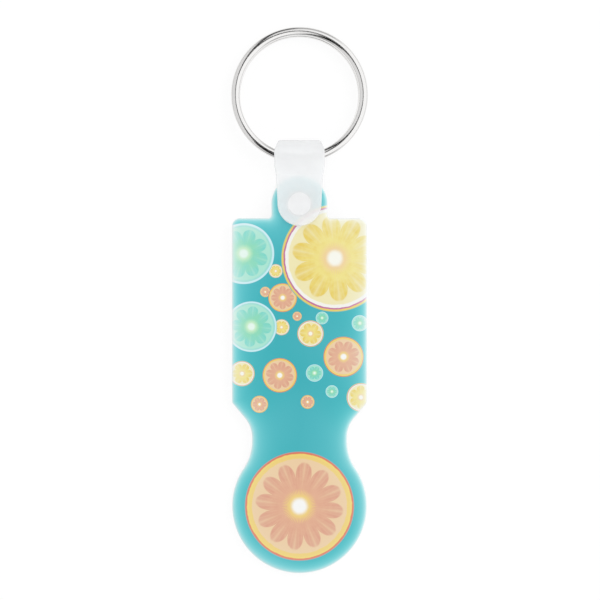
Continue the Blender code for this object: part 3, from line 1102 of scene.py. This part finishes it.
@dataclass
class SplitRing:
    """One wire coiled in two turns, whose step and cut ends lie in the strap's loop."""

    outer_radius: float = 11.82 * MM
    wire_width: float = 1.54 * MM
    wire_height: float = 1.3 * MM
    squareness: float = 2.4
    turn_gap: float = 0.06 * MM
    lower_turn_inset: float = 0.12 * MM
    lower_turn_shift: float = 0.06 * MM
    strap_width: float = 8.7 * MM
    step_span: float = math.radians(26.0)
    step_centre: float = math.radians(-90.0)
    end_gap: float = math.radians(2.0)
    end_rounding: float = 0.12 * MM
    end_steps: int = 4
    sides: int = 40
    step: float = math.radians(1.25)
    finish: PolishedNickel = PolishedNickel()

    @property
    def middle_radius(self) -> float:
        """Radius of the wire's centre line."""
        return self.outer_radius - self.wire_width / 2

    @property
    def height(self) -> float:
        """Height of the two turns together."""
        return 2 * self.wire_height + self.turn_gap

    @property
    def to_pivot(self) -> float:
        """Distance from the ring's centre to the axis that it swings about."""
        inner = self.outer_radius - self.wire_width
        return (self.outer_radius + math.sqrt(inner**2 - (self.strap_width / 2) ** 2)) / 2

    def droop(self, pivot_height: float) -> float:
        """Angle at which the ring hangs down to the floor from the strap's loop.

        Args:
            pivot_height: Height of the loop's axis above the floor.

        Returns:
            The angle.
        """
        far = self.to_pivot + self.middle_radius
        span = math.hypot(far, self.height / 2)
        return math.asin(pivot_height / span) - math.atan2(self.height / 2, far)

    def section(self) -> list[tuple[float, float]]:
        """Rounded section of the wire.

        Returns:
            Its points, as outward and upward offsets.
        """
        power = 2 / self.squareness
        points = []
        for i in range(self.sides):
            angle = math.tau * i / self.sides
            across = math.copysign(abs(math.cos(angle)) ** power, math.cos(angle))
            upward = math.copysign(abs(math.sin(angle)) ** power, math.sin(angle))
            points.append((across * self.wire_width / 2, upward * self.wire_height / 2))
        return points

    def centre_line(self, turn: float) -> Vector:
        """Point on the wire's centre line.

        Args:
            turn: Angle run along the wire.

        Returns:
            The point, with the ring's centre at the origin.
        """
        layer = (self.wire_height + self.turn_gap) / 2
        through = (turn - (math.tau - self.step_span / 2)) / self.step_span
        through = min(max(through, 0.0), 1.0)
        lowered = through * through * (3 - 2 * through)
        angle = self.step_centre - turn
        radius = self.middle_radius - self.lower_turn_inset * lowered
        across = radius * math.cos(angle) - self.lower_turn_shift * lowered
        return Vector((across, radius * math.sin(angle), layer * (1 - 2 * lowered)))

    def stations(self) -> list[tuple[float, float]]:
        """Places along the wire at which it gets its section, smaller at the rounded ends.

        Returns:
            Pairs of an angle along the wire and the section's size there.
        """
        first = self.step_span / 2 + self.end_gap
        last = 2 * math.tau - first
        rounding = self.end_rounding / self.middle_radius
        angles = [math.pi / 2 * i / self.end_steps for i in range(self.end_steps + 1)]
        shrink = 2 * self.end_rounding / self.wire_height
        start = [(first + rounding * (1 - math.cos(a)), 1 - shrink * (1 - math.sin(a))) for a in angles]
        count = math.ceil((last - first) / self.step)
        inner_first, inner_last = first + rounding, last - rounding
        middle = [(inner_first + (inner_last - inner_first) * i / count, 1.0) for i in range(1, count)]
        end = [(first + last - turn, size) for turn, size in reversed(start)]
        return start + middle + end

    def build(self, pivot: Vector) -> bpy.types.Object:
        """Make the ring.

        Args:
            pivot: The axis that it swings about, in the row frame.

        Returns:
            The piece.
        """
        bm = bmesh.new()
        centre = Vector((0, self.to_pivot, 0))
        nudge = 0.1 * self.step
        rings: list[Ring] = []
        for turn, size in self.stations():
            place = self.centre_line(turn)
            along = (self.centre_line(turn + nudge) - self.centre_line(turn - nudge)).normalized()
            outward = Vector((place.x, place.y, 0)).normalized()
            upward = outward.cross(along).normalized()
            points = [centre + place + (outward * a + upward * b) * size for a, b in self.section()]
            rings.append([bm.verts.new(point) for point in points])
        Shell.skin(bm, rings)
        bm.faces.new(rings[0])
        bm.faces.new(rings[-1])
        bmesh.ops.recalc_face_normals(bm, faces=bm.faces)
        place = Matrix.Translation(pivot) @ Matrix.Rotation(-self.droop(pivot.z), 4, "X")
        return Piece("split_ring", "polished_nickel").show(bm, place, self.finish.material())


@dataclass
class Studio:
    """Pale floor, soft light and the camera that looks straight down."""

    view_size: float = 103.8 * MM
    frame_shift: float = 0.09 * MM
    lens: float = 400.0
    sensor: float = 36.0
    clip_start: float = 0.01
    floor_size: float = 1.6
    floor_drop: float = 0.02 * MM
    floor_colour: Colour = (0.92, 0.92, 0.92)
    floor_roughness: float = 0.9
    floor_glow: float = 1.03
    floor_glow_share: float = 0.85
    lamp_place: tuple[float, float, float] = (0.35, 0.25, 0.6)
    lamp_size: float = 0.4
    lamp_power: float = 1.15
    even_light: Colour = (0.87, 0.87, 0.87)
    # Smooth steps of the room's light: where each starts and ends, and its values before and after.
    sides_step: Step = (-0.12, 0.12, 0.8, 1.06)
    far_end_step: Step = (0.8, 0.95, 0.0, 0.5)
    far_corner_step: Step = (0.94, 0.99, 0.0, 0.8)
    near_end_step: Step = (-0.9, -0.6, 0.5, 0.0)
    ends_height_step: Step = (0.66, 0.8, -1.0, 0.0)
    horizon_step: Step = (0.02, 0.3, 0.35, 1.0)
    least_level: float = 0.001
    far_corner_way: tuple[float, float] = (-0.26, 0.966)
    # The dark gap between the overhead lights: places on its middle line, and its half width there.
    gap_height: float = 0.5
    gap_colour: Colour = (0.01, 0.01, 0.01)
    gap_line: tuple[tuple[float, float, float], ...] = (
        (-0.075, -0.62, 0.045),
        (-0.13, -0.36, 0.07),
        (-0.16, -0.12, 0.08),
        (-0.115, -0.02, 0.055),
        (-0.08, 0.03, 0.04),
        (-0.05, 0.095, 0.034),
        (-0.008, 0.138, 0.034),
        (-0.03, 0.19, 0.03),
        (-0.08, 0.236, 0.03),
        (-0.12, 0.31, 0.035),
        (-0.165, 0.42, 0.035),
        (-0.21, 0.57, 0.05),
        (-0.3, 0.9, 0.08),
    )

    def camera(self) -> None:
        """Camera over the keyring, with the ring end at the top of the picture."""
        data = bpy.data.cameras.new("camera")
        data.lens = self.lens
        data.sensor_width = self.sensor
        data.clip_start = self.clip_start
        camera = add_object("camera", data)
        camera.location = (self.frame_shift, 0.0, self.view_size * self.lens / self.sensor)
        bpy.context.scene.camera = camera

    def floor(self) -> None:
        """White floor that keeps a faint shadow."""
        bm = bmesh.new()
        half = self.floor_size / 2
        bm.faces.new([bm.verts.new((x * half, y * half, 0)) for x, y in ((-1, -1), (1, -1), (1, 1), (-1, 1))])
        floor = add_object("floor", bm)
        floor.location.z = -self.floor_drop
        material, graph, shader = surface("floor")
        graph.fill(shader, {
            "Base Color": self.floor_colour,
            "Roughness": self.floor_roughness,
            "Specular IOR Level": 0.0,
        })
        glow = graph.add("ShaderNodeEmission", {"Strength": self.floor_glow})
        seen = graph.ray("Is Camera Ray")
        for kind in ("Is Glossy Ray", "Is Transmission Ray"):
            seen = graph.math("MAXIMUM", seen, graph.ray(kind))
        shadowed = Field(graph, shader.outputs[0])
        blend = graph.add("ShaderNodeMixShader", (seen * self.floor_glow_share, shadowed, glow))
        graph.fill(material.node_tree.nodes["Material Output"], {"Surface": blend})
        floor.data.materials.append(material)

    def world(self) -> None:
        """Even white surroundings, with the darker ends of the room for polished metal to show."""
        world = bpy.data.worlds.new("studio")
        world.use_nodes = True
        bpy.context.scene.world = world
        graph = NodeGraph(world.node_tree)
        background = world.node_tree.nodes["Background"]
        across, along, upward = graph.split(graph.add("ShaderNodeTexCoord", output="Generated"))
        level = graph.length(across, along) + self.least_level
        corner_x, corner_y = self.far_corner_way
        far_end = graph.smooth(along / level, *self.far_end_step)
        far_corner = graph.smooth((across * corner_x + along * corner_y) / level, *self.far_corner_step)
        near_end = graph.smooth(along / level, *self.near_end_step)
        dark = graph.math("MAXIMUM", far_end, far_corner) + near_end
        ends = dark * graph.smooth(upward, *self.ends_height_step) + 1.0
        light = graph.smooth(across, *self.sides_step) * ends * graph.smooth(upward, *self.horizon_step)
        white = (1.0, 1.0, 1.0)
        shine = graph.add("ShaderNodeVectorMath", {0: white, "Scale": light}, operation="SCALE")
        even = graph.mix(graph.ray("Is Camera Ray"), self.even_light, white)
        graph.fill(background, {"Color": graph.mix(graph.ray("Is Glossy Ray"), even, shine)})

    def light_gap(self) -> None:
        """Dark gap between the overhead lights, which only polished metal mirrors."""
        bm = bmesh.new()
        left, right = (
            [bm.verts.new((x + side * half, y, self.gap_height)) for x, y, half in self.gap_line]
            for side in (-1, 1)
        )
        for corners in zip(left, right, right[1:], left[1:]):
            bm.faces.new(corners)
        gap = add_object("light_gap", bm)
        material, graph, shader = surface("light_gap")
        graph.fill(shader, {"Base Color": self.gap_colour, "Specular IOR Level": 0.0})
        gap.data.materials.append(material)
        gap.visible_camera = False
        gap.visible_diffuse = False
        gap.visible_transmission = False
        gap.visible_shadow = False

    def lamp(self) -> None:
        """Soft lamp that faces the keyring."""
        data = bpy.data.lights.new("key", "AREA")
        data.size = self.lamp_size
        data.energy = self.lamp_power
        lamp = add_object("key", data)
        lamp.location = self.lamp_place
        lamp.rotation_euler = (-Vector(self.lamp_place)).to_track_quat("-Z", "Y").to_euler()
        lamp.visible_glossy = False

    def build(self) -> None:
        """Set up the whole studio."""
        self.camera()
        self.floor()
        self.world()
        self.light_gap()
        self.lamp()
        bpy.context.scene.view_settings.view_transform = "Standard"


def joint(name: str) -> dict:
    """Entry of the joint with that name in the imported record."""
    return next(entry for entry in frame["joints"] if entry["name"] == name)


def plate_frame() -> Matrix:
    """Frame of the plate as it lies, from the strap's swivel axis.

    Returns:
        The matrix from the plate's frame to the row frame.
    """
    swivel = joint("strap_swivel")
    upward = Vector(swivel["axis"]).normalized()
    forward = upward.cross(Vector((1, 0, 0))).normalized()
    across = forward.cross(upward)
    turn = Matrix((across, forward, upward)).transposed().to_4x4()
    return Matrix.Translation(Vector(swivel["pos_m"])) @ turn


def main() -> None:
    """Build the pieces and the studio."""
    logging.basicConfig(level=logging.INFO, format="%(name)s: %(message)s")
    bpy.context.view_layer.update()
    place = plate_frame()
    pivot = Vector(joint("ring_swing")["pos_m"])
    pieces = (
        TokenPlate().build(place),
        Strap().build(place, (place.inverted() @ pivot).y),
        SplitRing().build(pivot),
    )
    for piece in pieces:
        LOG.info("%s: %d faces", piece.name, len(piece.data.polygons))
    Studio().build()


if __name__ == "__main__":
    main()
